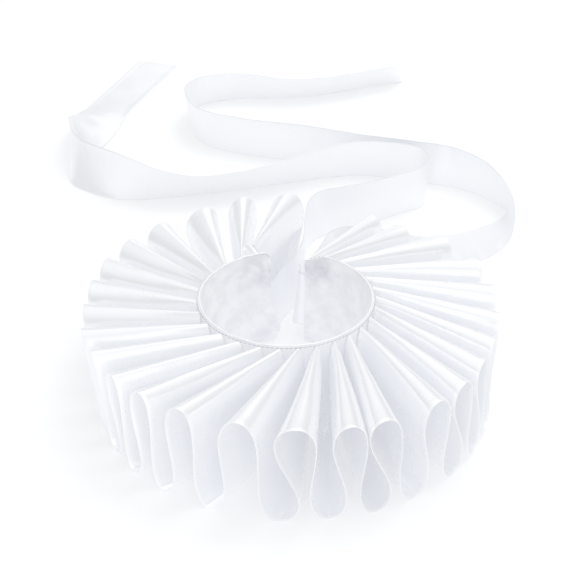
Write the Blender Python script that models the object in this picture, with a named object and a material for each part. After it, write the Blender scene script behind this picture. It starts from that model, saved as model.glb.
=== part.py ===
"""A pleated satin ruff collar with two ribbon ties, laid on a table.

One long strip of satin is folded into 27 upright figure-eight pleats and sewn round
a tall neckband. The band is open at the back, and a ribbon leaves each of its ends.
Everything is worked out about the middle of the neck opening, in metres with +Z up,
and is then moved so that the origin is under the middle of the whole object.
"""

import math

import bmesh
import bpy
import numpy as np

MM = 0.001
SHARP_ANGLE = math.radians(40)

# Neckband: a tall open ring, cloth outside and lining inside, with a rolled rim.
BAND_OUTER_R = 63.4 * MM
BAND_WALL = 1.2 * MM
LINING_WALL = 1.4 * MM
PLY_GAP = 0.35 * MM
BAND_BOTTOM_Z = 1.6 * MM
BAND_TOP_Z = 81.0 * MM
RIM_TALL = 2.4 * MM
RIM_OVERHANG = 0.5 * MM
RIM_SIDES = 6
BAND_LEFT_END_AZ = 101.3
BAND_RIGHT_END_AZ = 76.5 + 360.0
BAND_STEPS = 84
# The band's top edge dips at its right end, where the tie pulls on it.
END_DIP = 6.5 * MM
END_DIP_SPREAD = 11.0

# Pleated strip: one wall, from the seam on the band to the loops at the outer edge.
STRIP_WALL = 1.0 * MM
SEAM_R = 64.25 * MM
SEAM_CREST_Z = 80.2 * MM
SEAM_VALLEY_Z = 3.2 * MM
SEAM_SWELL = 2.4 * MM
FIRST_SEAM_SWELL = 0.8 * MM
VALLEY_SETTLES_AT = 0.45
STEPS_PER_PLEAT = 14
STEPS_ACROSS = 5
CREST_CROWDING = 0.2
FIRST_FOLD = -0.43
LAST_FOLD = 26.43
HEM_LIFT = 2.2 * MM
FLAT_BOTTOM = 1.1 * MM

# One row for each pleat, from the gap's left side round the front to its right side:
# azimuth on the seam, azimuth, radius and height of the crest's tip, azimuth and radius
# of the loop on the table that follows it, and how far the wall before the crest and the
# wall after it swell sideways at the outer edge. Degrees and millimetres.
PLEAT_COLUMNS = ("seam_az", "tip_az", "tip_r", "tip_z", "foot_az", "foot_r", "rise", "fall")
PLEATS = (
    (109.0, 89.2, 160.0, 79.0, 98.0, 149.0, 6.0, 8.0),
    (121.5, 103.4, 154.0, 81.0, 111.5, 147.0, 7.5, 7.0),
    (135.5, 116.0, 152.0, 78.0, 125.5, 147.0, 8.5, 10.5),
    (148.0, 131.5, 152.0, 76.5, 139.5, 146.0, 7.0, 9.0),
    (159.0, 143.9, 152.0, 75.5, 151.5, 145.0, 7.0, 9.0),
    (170.5, 155.6, 150.5, 74.5, 163.5, 143.0, 6.0, 8.5),
    (184.0, 167.5, 148.0, 73.5, 175.5, 141.0, 6.5, 8.0),
    (197.5, 179.5, 146.0, 72.0, 187.5, 140.0, 6.0, 6.0),
    (211.5, 193.2, 146.5, 74.5, 200.0, 140.0, 6.5, 4.0),
    (226.0, 205.3, 146.0, 76.5, 211.5, 140.5, 6.0, 3.0),
    (240.0, 218.0, 145.0, 76.5, 222.4, 142.0, 6.5, 2.5),
    (253.5, 228.7, 143.5, 77.0, 234.3, 142.0, 6.2, 3.2),
    (266.0, 242.0, 145.0, 80.0, 249.0, 142.5, 5.2, 3.8),
    (277.5, 257.8, 147.0, 81.5, 268.2, 145.5, 5.4, 4.6),
    (288.8, 272.2, 147.5, 78.5, 281.4, 145.5, 10.6, 6.4),
    (301.0, 285.7, 149.0, 77.5, 293.6, 148.5, 8.0, 6.0),
    (312.5, 294.9, 149.3, 76.5, 304.9, 150.0, 9.8, 5.1),
    (324.0, 309.8, 152.5, 77.0, 318.9, 151.5, 6.8, 6.1),
    (336.0, 321.2, 150.5, 74.5, 329.8, 152.0, 9.4, 5.0),
    (348.5, 333.0, 149.5, 73.0, 340.9, 152.0, 8.0, 4.5),
    (360.5, 344.0, 150.0, 72.5, 351.5, 151.0, 7.5, 5.0),
    (372.5, 355.4, 152.5, 74.0, 363.0, 150.0, 7.0, 5.0),
    (385.0, 367.0, 154.0, 77.5, 375.5, 149.0, 7.5, 5.5),
    (397.5, 381.0, 155.0, 78.5, 391.0, 149.0, 8.0, 6.0),
    (410.5, 397.5, 156.0, 76.0, 405.5, 147.0, 7.5, 6.0),
    (423.5, 411.5, 147.5, 73.5, 417.8, 144.0, 7.0, 5.5),
    (436.0, 421.8, 149.0, 74.0, 425.0, 144.0, 6.0, 5.0),
)
START_FOOT_AZ = 85.7
START_FOOT_R = 152.0
START_SEAM_AZ = 101.0
# The wall before the first crest leans out against the left tie.
START_LEAN = 5.0 * MM
END_SEAM_AZ = 437.5
# The first pleat stands off the band, because the left tie is sewn on under it.
START_STANDS_OFF = (8.0 * MM, 14.0 * MM)

# Ties: a satin ribbon each. A row gives the foot of the ribbon's first edge, how far the
# lower edge is off the table, and the azimuth and elevation of the way across to the
# second edge. Millimetres and degrees.
RIBBON_WIDE = 48.0 * MM
RIBBON_WALL = 1.0 * MM
RIBBON_STEPS_PER_ROW = 3
TIE_COLUMNS = ("x", "y", "lift", "across_az", "across_el")
LEFT_TIE = (
    (-18.1, 61.9, 3.0, 90, 90),
    (-13.0, 64.3, 3.0, 90, 90),
    (-8.6, 73.5, 2.0, 90, 90),
    (-2.0, 92.0, 0.5, 90, 90),
    (7.5, 113.0, 0.0, 90, 90),
    (13.5, 136.0, 0.0, 90, 90),
    (15.5, 162.0, 0.0, 90, 90),
    (17.0, 190.0, 0.0, 90, 90),
    (21.5, 211.0, 0.0, -90, 90),
    (33.0, 225.0, 0.0, -90, 89),
    (50.0, 233.0, 0.0, -80, 87),
    (73.0, 245.0, 0.0, -75, 84),
    (109.0, 269.0, 0.0, -75, 80),
    (126.0, 279.0, 0.0, -60, 84),
    (133.5, 297.0, 0.0, -80, 87),
    (126.0, 320.0, 0.0, -105, 81),
    (105.0, 338.0, 0.0, -100, 73),
    (75.0, 345.0, 0.0, -92, 70),
    (45.0, 341.0, 0.0, -88, 67),
    (15.0, 333.0, 0.0, -84, 59),
    (-20.0, 322.0, 0.0, -82, 52),
    (-55.0, 312.0, 0.0, -82, 48),
    (-90.0, 303.0, 0.0, -85, 50),
    (-122.0, 297.0, 0.0, -88, 63),
    (-146.0, 294.0, 0.0, -88, 82),
    (-168.0, 296.0, 0.0, 94, 77),
    (-192.0, 309.0, 0.0, 90, 61),
    (-210.0, 325.0, 0.0, 80, 57),
    (-216.0, 345.0, 0.0, 86, 58),
    (-209.0, 368.0, 0.0, 112, 50),
    (-197.0, 392.0, 0.0, 138, 38),
    (-186.0, 421.0, 0.0, 154, 26),
    (-179.0, 456.0, 0.0, 160, 12),
    (-172.0, 498.0, 0.0, 160, 0),
    (-159.0, 540.0, 0.0, 160, 0),
    (-131.0, 628.0, 0.0, 160, 0),
)
RIGHT_TIE = (
    (14.3, 61.1, 14.0, 90, 90),
    (9.6, 62.3, 14.0, 0, 88.5),
    (5.6, 67.0, 13.0, 0, 85),
    (6.0, 75.0, 12.0, 0, 83),
    (11.5, 88.0, 10.0, 0, 85),
    (22.5, 106.0, 6.0, 0, 89),
    (36.0, 126.0, 2.0, 135, 80),
    (54.0, 144.0, 0.0, 126, 60),
    (80.0, 158.0, 0.0, 112, 35),
    (112.0, 165.0, 0.0, 106, 15),
    (145.0, 171.0, 0.0, 110, 4),
    (172.0, 182.0, 0.0, 104, 1),
    (190.0, 198.0, 0.0, 91, 0),
    (200.0, 212.0, 0.0, 88, -4),
    (205.0, 221.0, 0.0, 88, -12),
    (206.8, 231.0, 0.0, 89, -26),
    (205.0, 243.0, 0.0, 90, -43),
    (198.5, 261.0, 0.0, 90, -57),
    (183.0, 290.0, 0.0, 90, -71),
    (160.0, 311.0, 0.0, 90, -78),
    (142.0, 319.0, 0.0, 90, -80),
    (105.0, 333.0, 0.0, 90, -74),
    (75.0, 344.0, 0.0, 90, -69),
    (40.0, 356.0, 0.0, 90, -72),
    (13.0, 364.0, 0.0, 88, -75),
    (-18.0, 371.0, 0.0, 86, -75),
    (-49.0, 381.0, 0.0, 86, -75),
    (-72.0, 391.0, 0.0, 82, -75),
    (-90.0, 405.0, 0.0, 76, -74),
    (-101.0, 424.0, 0.0, 74, -73),
    (-107.0, 450.0, 0.0, 78, -69),
    (-105.0, 475.0, 0.0, 86, -64),
    (-93.0, 493.0, 0.0, 92, -62),
    (-71.0, 503.0, 0.0, 94, -60),
    (-42.0, 507.0, 0.0, 92, -56),
    (-8.0, 503.0, 0.0, 89, -50),
    (30.0, 507.0, 0.0, 88, -46),
    (68.0, 521.0, 0.0, 90, -45),
    (100.0, 536.0, 0.0, 84, -44),
    (121.0, 546.0, 0.0, 68, -42),
)

SATIN = (0.90, 0.92, 0.95, 1.0)
COTTON = (0.80, 0.81, 0.85, 1.0)


def column(rows, names, name):
    """One named column of a table."""
    return np.array([row[names.index(name)] for row in rows], float)


def polar(azimuth, radius, height):
    """Points from azimuths in degrees, radii and heights."""
    angle = np.radians(azimuth)
    return np.stack([radius * np.cos(angle), radius * np.sin(angle), height + 0.0 * angle], -1)


def material(name, colour, roughness):
    """A plain Principled material."""
    made = bpy.data.materials.new(name)
    made.use_nodes = True
    shader = made.node_tree.nodes["Principled BSDF"]
    shader.inputs["Base Color"].default_value = colour
    shader.inputs["Roughness"].default_value = roughness
    shader.inputs["Metallic"].default_value = 0.0
    return made


def grid_normals(grid):
    """Unit normals of a grid of points, from its two directions."""
    along = np.gradient(grid, axis=0)
    across = np.gradient(grid, axis=1)
    normal = np.cross(along, across)
    return normal / np.linalg.norm(normal, axis=-1, keepdims=True)


def closed_wall(name, grid, wall, finish, flatten=0.0):
    """A closed wall of even thickness round the grid, its lowest points laid flat."""
    normal = grid_normals(grid)
    skins = [grid + normal * wall / 2, grid - normal * wall / 2]
    for skin in skins:
        low = skin[..., 2] < flatten
        skin[..., 2][low] = 0.0
        np.maximum(skin[..., 2], 0.0, out=skin[..., 2])
    rows, columns = grid.shape[:2]
    mesh = bmesh.new()
    front, back = [[[mesh.verts.new(p) for p in line] for line in skin] for skin in skins]
    for i in range(rows - 1):
        for j in range(columns - 1):
            mesh.faces.new((front[i][j], front[i + 1][j], front[i + 1][j + 1], front[i][j + 1]))
            mesh.faces.new((back[i][j], back[i][j + 1], back[i + 1][j + 1], back[i + 1][j]))
        for j in (0, columns - 1):
            mesh.faces.new((front[i][j], back[i][j], back[i + 1][j], front[i + 1][j]))
    for j in range(columns - 1):
        for i in (0, rows - 1):
            mesh.faces.new((front[i][j], front[i][j + 1], back[i][j + 1], back[i][j]))
    return finished(name, mesh, finish)


def finished(name, mesh, finish):
    """An object from a mesh, facing outward, smooth but for its sharp edges."""
    bmesh.ops.recalc_face_normals(mesh, faces=mesh.faces)
    data = bpy.data.meshes.new(name)
    mesh.to_mesh(data)
    mesh.free()
    data.shade_smooth()
    data.set_sharp_from_angle(angle=SHARP_ANGLE)
    data.materials.append(finish)
    made = bpy.data.objects.new(name, data)
    bpy.context.collection.objects.link(made)
    return made


def band_dip(azimuth):
    """How far the band's top edge is lowered at an azimuth."""
    return END_DIP * np.exp(-((azimuth - BAND_RIGHT_END_AZ) / END_DIP_SPREAD) ** 2)


def band_ring(name, section, finish):
    """An open ring round the neck: a closed section of (radius, height) carried round it."""
    azimuths = np.linspace(BAND_LEFT_END_AZ, BAND_RIGHT_END_AZ, BAND_STEPS + 1)
    mesh = bmesh.new()
    rings = []
    for azimuth in azimuths:
        dip = band_dip(azimuth)
        heights = [z - dip if z >= BAND_TOP_Z else z for r, z in section]
        rings.append([mesh.verts.new(polar(azimuth, r, z)) for (r, _), z in zip(section, heights)])
    count = len(section)
    for one, two in zip(rings, rings[1:]):
        for k in range(count):
            mesh.faces.new((one[k], one[(k + 1) % count], two[(k + 1) % count], two[k]))
    mesh.faces.new(rings[0])
    mesh.faces.new(rings[-1])
    return finished(name, mesh, finish)


def flat_section(inner_r, outer_r):
    """The upright rectangle that a ply of the band is cut to."""
    corners = [(inner_r, BAND_BOTTOM_Z), (outer_r, BAND_BOTTOM_Z)]
    return corners + [(outer_r, BAND_TOP_Z), (inner_r, BAND_TOP_Z)]


def rim_section(inner_r, outer_r):
    """A rolled rim: a half round on a flat seat, just above the band's top edge."""
    middle = (inner_r + outer_r) / 2
    half = (outer_r - inner_r) / 2 + RIM_OVERHANG
    seat = BAND_TOP_Z + PLY_GAP
    turns = [math.pi * k / RIM_SIDES for k in range(RIM_SIDES + 1)]
    return [(middle + half * math.cos(a), seat + RIM_TALL * math.sin(a)) for a in turns]


def fold_phases():
    """Places along the strip in pleats, whole on a crest, crowded at crests and feet."""
    steps = np.arange(-STEPS_PER_PLEAT, (len(PLEATS) + 1) * STEPS_PER_PLEAT)
    turn = 2 * math.pi * (steps + 0.5) / STEPS_PER_PLEAT
    phase = (turn - CREST_CROWDING * np.sin(2 * turn)) / (2 * math.pi)
    inside = phase[(phase > FIRST_FOLD) & (phase < LAST_FOLD)]
    return np.concatenate([[FIRST_FOLD], inside, [LAST_FOLD]])


def strip_edge(phase, knots_az, crest_r, foot_r, crest_z, foot_z, swell, lean=0.0):
    """One edge of the strip: crests and feet at their places, loops swelling between."""
    count = len(PLEATS)
    pleat = np.clip(np.floor(phase + 0.5).astype(int), 0, count - 1)
    turn = 2 * math.pi * (phase - pleat)
    height = (1 + np.cos(turn)) / 2
    foot = np.where(phase < pleat, foot_r[pleat], foot_r[pleat + 1])
    radius = foot + (crest_r[pleat] - foot) * height
    sideways = np.where(phase < pleat, swell[0][pleat], swell[1][pleat]) * np.sin(2 * turn)
    sideways += np.where(phase < 0, lean, 0.0) * np.sin(turn)
    azimuth = np.interp(phase, np.arange(-0.5, count, 0.5), knots_az)
    azimuth += np.degrees(sideways / radius)
    return polar(azimuth, radius, foot_z + (crest_z[pleat] - foot_z) * height)


def pleated_strip():
    """The whole pleated strip as a grid of points: along the strip, then across it."""
    count = len(PLEATS)
    seam = column(PLEATS, PLEAT_COLUMNS, "seam_az")
    seam_knots = np.empty(2 * count + 1)
    seam_knots[1::2] = seam
    seam_knots[2:-1:2] = (seam[1:] + seam[:-1]) / 2
    seam_knots[0] = START_SEAM_AZ
    seam_knots[-1] = END_SEAM_AZ
    tip_knots = np.empty(2 * count + 1)
    tip_knots[1::2] = column(PLEATS, PLEAT_COLUMNS, "tip_az")
    tip_knots[2::2] = column(PLEATS, PLEAT_COLUMNS, "foot_az")
    tip_knots[0] = START_FOOT_AZ

    seam_crest_r = np.full(count, SEAM_R)
    seam_foot_r = np.full(count + 1, SEAM_R)
    seam_foot_r[0] += START_STANDS_OFF[0]
    seam_crest_r[0] += START_STANDS_OFF[1]
    foot_r = np.concatenate([[START_FOOT_R], column(PLEATS, PLEAT_COLUMNS, "foot_r")]) * MM

    phase = fold_phases()
    seam_swell = np.full((2, count), SEAM_SWELL)
    seam_swell[:, 0] = FIRST_SEAM_SWELL
    inner = strip_edge(phase, seam_knots, seam_crest_r, seam_foot_r,
                       SEAM_CREST_Z - band_dip(seam), SEAM_VALLEY_Z, seam_swell)
    swell = [column(PLEATS, PLEAT_COLUMNS, name) * MM for name in ("rise", "fall")]
    outer = strip_edge(phase, tip_knots, column(PLEATS, PLEAT_COLUMNS, "tip_r") * MM, foot_r,
                       column(PLEATS, PLEAT_COLUMNS, "tip_z") * MM, STRIP_WALL / 2, swell,
                       START_LEAN)
    across = np.linspace(0, 1, STEPS_ACROSS + 1)[None, :, None]
    grid = inner[:, None] * (1 - across) + outer[:, None] * across
    settled = np.clip(1 - across[..., 0] / VALLEY_SETTLES_AT, 0, 1)
    straight = (1 - across[..., 0])
    weight = 1 - grid[..., 2] / SEAM_CREST_Z
    grid[..., 2] -= (SEAM_VALLEY_Z - STRIP_WALL / 2) * (straight - settled) * np.clip(weight, 0, 1)
    loose = (phase < 0) | (phase > count - 1)
    floor = STRIP_WALL / 2 + HEM_LIFT * loose[:, None]
    grid[..., 2] = np.maximum(grid[..., 2], floor)
    return grid


def smooth_rows(rows, steps):
    """Rows of numbers, with more between them on a smooth curve through each."""
    rows = np.asarray(rows, float)
    ends = np.vstack([2 * rows[0] - rows[1], rows, 2 * rows[-1] - rows[-2]])
    made = []
    for k in range(len(rows) - 1):
        before, start, stop, after = ends[k:k + 4]
        for t in np.arange(steps) / steps:
            bend = (2 * before - 5 * start + 4 * stop - after) * t * t
            twist = (3 * start - 3 * stop + after - before) * t ** 3
            made.append(0.5 * (2 * start + (stop - before) * t + bend + twist))
    made.append(rows[-1])
    return np.array(made)


def ribbon(rows):
    """A ribbon as a grid of points: along it, then its two edges and its middle."""
    azimuth = np.radians(column(rows, TIE_COLUMNS, "across_az"))
    rise = np.radians(column(rows, TIE_COLUMNS, "across_el"))
    flat = np.cos(rise)
    across = np.stack([flat * np.cos(azimuth), flat * np.sin(azimuth), np.sin(rise)], -1)
    foot = np.stack([column(rows, TIE_COLUMNS, name) * MM for name in ("x", "y", "lift")], -1)
    line = smooth_rows(np.hstack([foot, across]), RIBBON_STEPS_PER_ROW)
    edge = line[:, :3]
    across = line[:, 3:] / np.linalg.norm(line[:, 3:], axis=1, keepdims=True)
    lower = np.maximum(0, -across[:, 2]) * RIBBON_WIDE
    level = np.hypot(across[:, 0], across[:, 1])
    edge[:, 2] = np.maximum(edge[:, 2], 0) + lower + RIBBON_WALL / 2 * level
    share = np.array([0.0, 0.5, 1.0])[None, :, None] * RIBBON_WIDE
    return edge[:, None] + across[:, None] * share


def bounds(objects):
    """Lowest and highest corners of the objects' meshes."""
    points = np.array([corner.co[:] for item in objects for corner in item.data.vertices])
    return points.min(0), points.max(0)


def main():
    for item in list(bpy.data.objects):
        bpy.data.objects.remove(item)
    satin = material("satin", SATIN, 0.35)
    cotton = material("cotton", COTTON, 0.85)

    band_inner = BAND_OUTER_R - BAND_WALL
    lining_outer = band_inner - PLY_GAP
    lining_inner = lining_outer - LINING_WALL
    pieces = [
        band_ring("neckband", flat_section(band_inner, BAND_OUTER_R), satin),
        band_ring("band_lining", flat_section(lining_inner, lining_outer), cotton),
        band_ring("rim_binding", rim_section(lining_inner, BAND_OUTER_R), satin),
        closed_wall("ruff_strip", pleated_strip(), STRIP_WALL, satin, FLAT_BOTTOM),
        closed_wall("tie_left", ribbon(LEFT_TIE), RIBBON_WALL, satin),
        closed_wall("tie_right", ribbon(RIGHT_TIE), RIBBON_WALL, satin),
    ]
    lowest, highest = bounds(pieces)
    middle = (lowest + highest) / 2
    for piece in pieces:
        piece.location = (-middle[0], -middle[1], -lowest[2])


main()
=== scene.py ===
"""A pleated satin ruff collar with two ribbon ties, dressed for the studio.

Laid out as an add-on: sizes and colours are properties, each piece or group of pieces
is an operator, and a panel in the 3D view's sidebar lists them.
"""
import math

import bpy
import numpy as np
from bpy.props import FloatProperty, FloatVectorProperty, IntProperty, PointerProperty
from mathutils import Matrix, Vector, noise


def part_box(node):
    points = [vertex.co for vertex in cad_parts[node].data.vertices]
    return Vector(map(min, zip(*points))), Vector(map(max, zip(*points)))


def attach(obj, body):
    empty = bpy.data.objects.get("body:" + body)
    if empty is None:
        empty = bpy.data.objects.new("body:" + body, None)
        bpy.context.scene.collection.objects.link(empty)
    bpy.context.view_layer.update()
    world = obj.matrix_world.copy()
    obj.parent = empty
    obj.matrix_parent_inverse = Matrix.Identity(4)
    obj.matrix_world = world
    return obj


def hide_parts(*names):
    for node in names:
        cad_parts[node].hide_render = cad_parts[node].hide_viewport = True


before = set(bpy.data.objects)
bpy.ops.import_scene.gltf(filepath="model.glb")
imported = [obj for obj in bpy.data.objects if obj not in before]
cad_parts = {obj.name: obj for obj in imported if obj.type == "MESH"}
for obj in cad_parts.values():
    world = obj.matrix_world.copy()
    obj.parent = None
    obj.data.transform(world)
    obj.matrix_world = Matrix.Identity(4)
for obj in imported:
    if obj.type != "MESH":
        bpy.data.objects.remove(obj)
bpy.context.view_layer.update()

bl_info = {
    "name": "Ruff Collar",
    "version": (1, 0, 0),
    "blender": (4, 5, 0),
    "location": "3D View > Sidebar > Ruff Collar",
    "description": "Builds a pleated satin ruff collar with ribbon ties on its frame",
    "category": "Add Mesh",
}

MM = 0.001
BODY = "root"

# The neck opening's middle on the table, which everything is worked out from.
BAND_OUTER_R = 63.4 * MM
NECK_X = (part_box("neckband")[0][0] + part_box("neckband")[1][0]) / 2
NECK_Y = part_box("neckband")[0][1] + BAND_OUTER_R
NECK = np.array([NECK_X, NECK_Y, 0.0])

# Neckband: satin outside, cotton lining inside, a rolled rim on top.
BAND_WALL = 1.2 * MM
LINING_WALL = 1.4 * MM
PLY_GAP = 0.35 * MM
BAND_BOTTOM_Z = 1.6 * MM
BAND_TOP_Z = 81.0 * MM
BAND_LEFT_END_AZ = 101.3
BAND_RIGHT_END_AZ = 436.5
BAND_TALL = BAND_TOP_Z - BAND_BOTTOM_Z
END_DIP = 6.5 * MM
END_DIP_SPREAD = 11.0
CORNER_DIP = 3.6 * MM
CORNER_SPREAD = 2.6

# Pleated strip.
SEAM_R = 64.25 * MM
SEAM_CREST_Z = 80.2 * MM
SEAM_VALLEY_Z = 3.2 * MM
PINCHED_SWELL = 1.7 * MM
FIRST_SEAM_SWELL = 0.8 * MM
STRIP_FLOOR_Z = 0.5 * MM
STRIP_WIDE = 88.0 * MM
VALLEY_SETTLES_AT = 0.45
CREST_CROWDING = 0.2
FIRST_FOLD = -0.43
LAST_FOLD = 26.43
HEM_LIFT = 2.2 * MM

# One row for each pleat, from the gap's left side round the front to its right side:
# azimuth on the seam, azimuth, radius and height of the crest's tip, azimuth and radius
# of the loop on the table that follows it, and how far the wall before the crest and the
# wall after it swell sideways at the outer edge. Degrees and millimetres.
PLEAT_COLUMNS = ("seam_az", "tip_az", "tip_r", "tip_z", "foot_az", "foot_r", "rise", "fall")
PLEATS = (
    (109, 89.2, 160, 79, 98, 149, 6, 8),
    (121.5, 103.4, 154, 81, 111.5, 147, 7.5, 7),
    (135.5, 116, 152, 78, 125.5, 147, 8.5, 10.5),
    (148, 131.5, 152, 76.5, 139.5, 146, 7, 9),
    (159, 143.9, 152, 75.5, 151.5, 145, 7, 9),
    (170.5, 155.6, 150.5, 74.5, 163.5, 143, 6, 8.5),
    (184, 167.5, 148, 73.5, 175.5, 141, 6.5, 8),
    (197.5, 179.5, 146, 72, 187.5, 140, 6, 6),
    (211.5, 193.2, 146.5, 74.5, 200, 140, 6.5, 4),
    (226, 205.3, 146, 76.5, 211.5, 140.5, 6, 3),
    (240, 218, 145, 76.5, 222.4, 142, 6.5, 2.5),
    (253.5, 228.7, 143.5, 77, 234.3, 142, 6.2, 3.2),
    (266, 242, 145, 80, 249, 142.5, 5.2, 3.8),
    (277.5, 257.8, 147, 81.5, 268.2, 145.5, 5.4, 4.6),
    (288.8, 272.2, 147.5, 78.5, 281.4, 145.5, 10.6, 6.4),
    (301, 285.7, 149, 77.5, 293.6, 148.5, 8, 6),
    (312.5, 294.9, 149.3, 76.5, 304.9, 150, 9.8, 5.1),
    (324, 309.8, 152.5, 77, 318.9, 151.5, 6.8, 6.1),
    (336, 321.2, 150.5, 74.5, 329.8, 152, 9.4, 5),
    (348.5, 333, 149.5, 73, 340.9, 152, 8, 4.5),
    (360.5, 344, 150, 72.5, 351.5, 151, 7.5, 5),
    (372.5, 355.4, 152.5, 74, 363, 150, 7, 5),
    (385, 367, 154, 77.5, 375.5, 149, 7.5, 5.5),
    (397.5, 381, 155, 78.5, 391, 149, 8, 6),
    (410.5, 397.5, 156, 76, 405.5, 147, 7.5, 6),
    (423.5, 411.5, 147.5, 73.5, 417.8, 144, 7, 5.5),
    (436, 421.8, 149, 74, 425, 144, 6, 5),
)
START_FOOT_AZ = 85.7
START_FOOT_R = 152.0
START_SEAM_AZ = 101.0
START_LEAN = 5.0 * MM
END_SEAM_AZ = 437.5
START_STANDS_OFF = (8.0 * MM, 14.0 * MM)

# The hem's share of the way across, the pitch of the gathers, and where on a pleat's wall
# its long trough runs, from -1 at the loop to 1 at the crest.
HEM_STARTS = 0.955
HEM_STEPS = (0.965, 0.972, 0.985, 0.994, 1.0)
GATHER_PITCH = 1.15 * MM
TROUGH_AT = 0.74
TROUGH_SPREAD = 0.16

# The tuck of the first pleat: azimuth, half its width in degrees, how far it stands off
# the seam, how far it drops, and how high it arches along and across.
TUCK_AZ = 112.0
TUCK_HALF_WIDE = 2.4
TUCK_CLEAR = 0.6 * MM
TUCK_DROP = 1.2 * MM
TUCK_ARCH = 1.6 * MM
TUCK_CROWN = 2.6 * MM

# The lining's loose end: its height, how far up and round it fades, and its ragged edge.
LOOSE_AT_Z = 14.0 * MM
LOOSE_SPREAD = 13.0 * MM
LOOSE_REACH_AZ = 14.0
RAGGED_WAVE = 7.0 * MM
RAGGED_AZ = 0.9

# The rim's half width and half height, and how much each wavers.
RIM_HALF = (0.85, 0.2)
RIM_RISE = (0.55, 0.12)
RIM_LIFT = 0.1 * MM

# A hand stitch: half its thickness, how far it bulges, how low it starts, how much it
# rises, and its share of the pitch.
STITCH_THICK = 0.42 * MM
STITCH_BULGE = 0.3 * MM
STITCH_DROP = 0.7 * MM
STITCH_RISE = 0.4 * MM
STITCH_SHARE = 0.92

# Ties. A row gives the foot of the ribbon's first edge, how far the lower edge is off the
# table, and the azimuth and elevation of the way across it. Millimetres and degrees.
TIE_COLUMNS = ("x", "y", "lift", "across_az", "across_el")
LEFT_TIE = (
    (-18.1, 61.9, 3, 90, 90),
    (-13, 64.3, 3, 90, 90),
    (-8.6, 73.5, 2, 90, 90),
    (-2, 92, 0.5, 90, 90),
    (7.5, 113, 0, 90, 90),
    (13.5, 136, 0, 90, 90),
    (15.5, 162, 0, 90, 90),
    (17, 190, 0, 90, 90),
    (21.5, 211, 0, -90, 90),
    (33, 225, 0, -90, 89),
    (50, 233, 0, -80, 87),
    (73, 245, 0, -75, 84),
    (109, 269, 0, -75, 80),
    (126, 279, 0, -60, 84),
    (133.5, 297, 0, -80, 87),
    (126, 320, 0, -105, 81),
    (105, 338, 0, -100, 73),
    (75, 345, 0, -92, 70),
    (45, 341, 0, -88, 67),
    (15, 333, 0, -84, 59),
    (-20, 322, 0, -82, 52),
    (-55, 312, 0, -82, 48),
    (-90, 303, 0, -85, 50),
    (-122, 297, 0, -88, 63),
    (-146, 294, 0, -88, 82),
    (-168, 296, 0, 94, 77),
    (-192, 309, 0, 90, 61),
    (-210, 325, 0, 80, 57),
    (-216, 345, 0, 86, 58),
    (-209, 368, 0, 112, 50),
    (-197, 392, 0, 138, 38),
    (-186, 421, 0, 154, 26),
    (-179, 456, 0, 160, 12),
    (-172, 498, 0, 160, 0),
    (-159, 540, 0, 160, 0),
    (-131, 628, 0, 160, 0),
)
RIGHT_TIE = (
    (14.3, 61.1, 14, 90, 90),
    (9.6, 62.3, 14, 0, 88.5),
    (5.6, 67, 13, 0, 85),
    (6, 75, 12, 0, 83),
    (11.5, 88, 10, 0, 85),
    (22.5, 106, 6, 0, 89),
    (36, 126, 2, 135, 80),
    (54, 144, 0, 126, 60),
    (80, 158, 0, 112, 35),
    (112, 165, 0, 106, 15),
    (145, 171, 0, 110, 4),
    (172, 182, 0, 104, 1),
    (190, 198, 0, 91, 0),
    (200, 212, 0, 88, -4),
    (205, 221, 0, 88, -12),
    (206.8, 231, 0, 89, -26),
    (205, 243, 0, 90, -43),
    (198.5, 261, 0, 90, -57),
    (183, 290, 0, 90, -71),
    (160, 311, 0, 90, -78),
    (142, 319, 0, 90, -80),
    (105, 333, 0, 90, -74),
    (75, 344, 0, 90, -69),
    (40, 356, 0, 90, -72),
    (13, 364, 0, 88, -75),
    (-18, 371, 0, 86, -75),
    (-49, 381, 0, 86, -75),
    (-72, 391, 0, 82, -75),
    (-90, 405, 0, 76, -74),
    (-101, 424, 0, 74, -73),
    (-107, 450, 0, 78, -69),
    (-105, 475, 0, 86, -64),
    (-93, 493, 0, 92, -62),
    (-71, 503, 0, 94, -60),
    (-42, 507, 0, 92, -56),
    (-8, 503, 0, 89, -50),
    (30, 507, 0, 88, -46),
    (68, 521, 0, 90, -45),
    (100, 536, 0, 84, -44),
    (121, 546, 0, 68, -42),
)

# The ribbons' length, their woven edge, their clearance of the table, and the facing at
# the right one's root: its steps along the ribbon, its lap on it and where its top is.
SELVEDGE = 1.6 * MM
RIBBON_CLEAR = 0.5 * MM
GUSSET_STEPS = 38
GUSSET_LAP = 3.0 * MM
GUSSET_OFF = 0.9 * MM
GUSSET_TOP_Z = BAND_TOP_Z - END_DIP - 0.6 * MM

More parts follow.
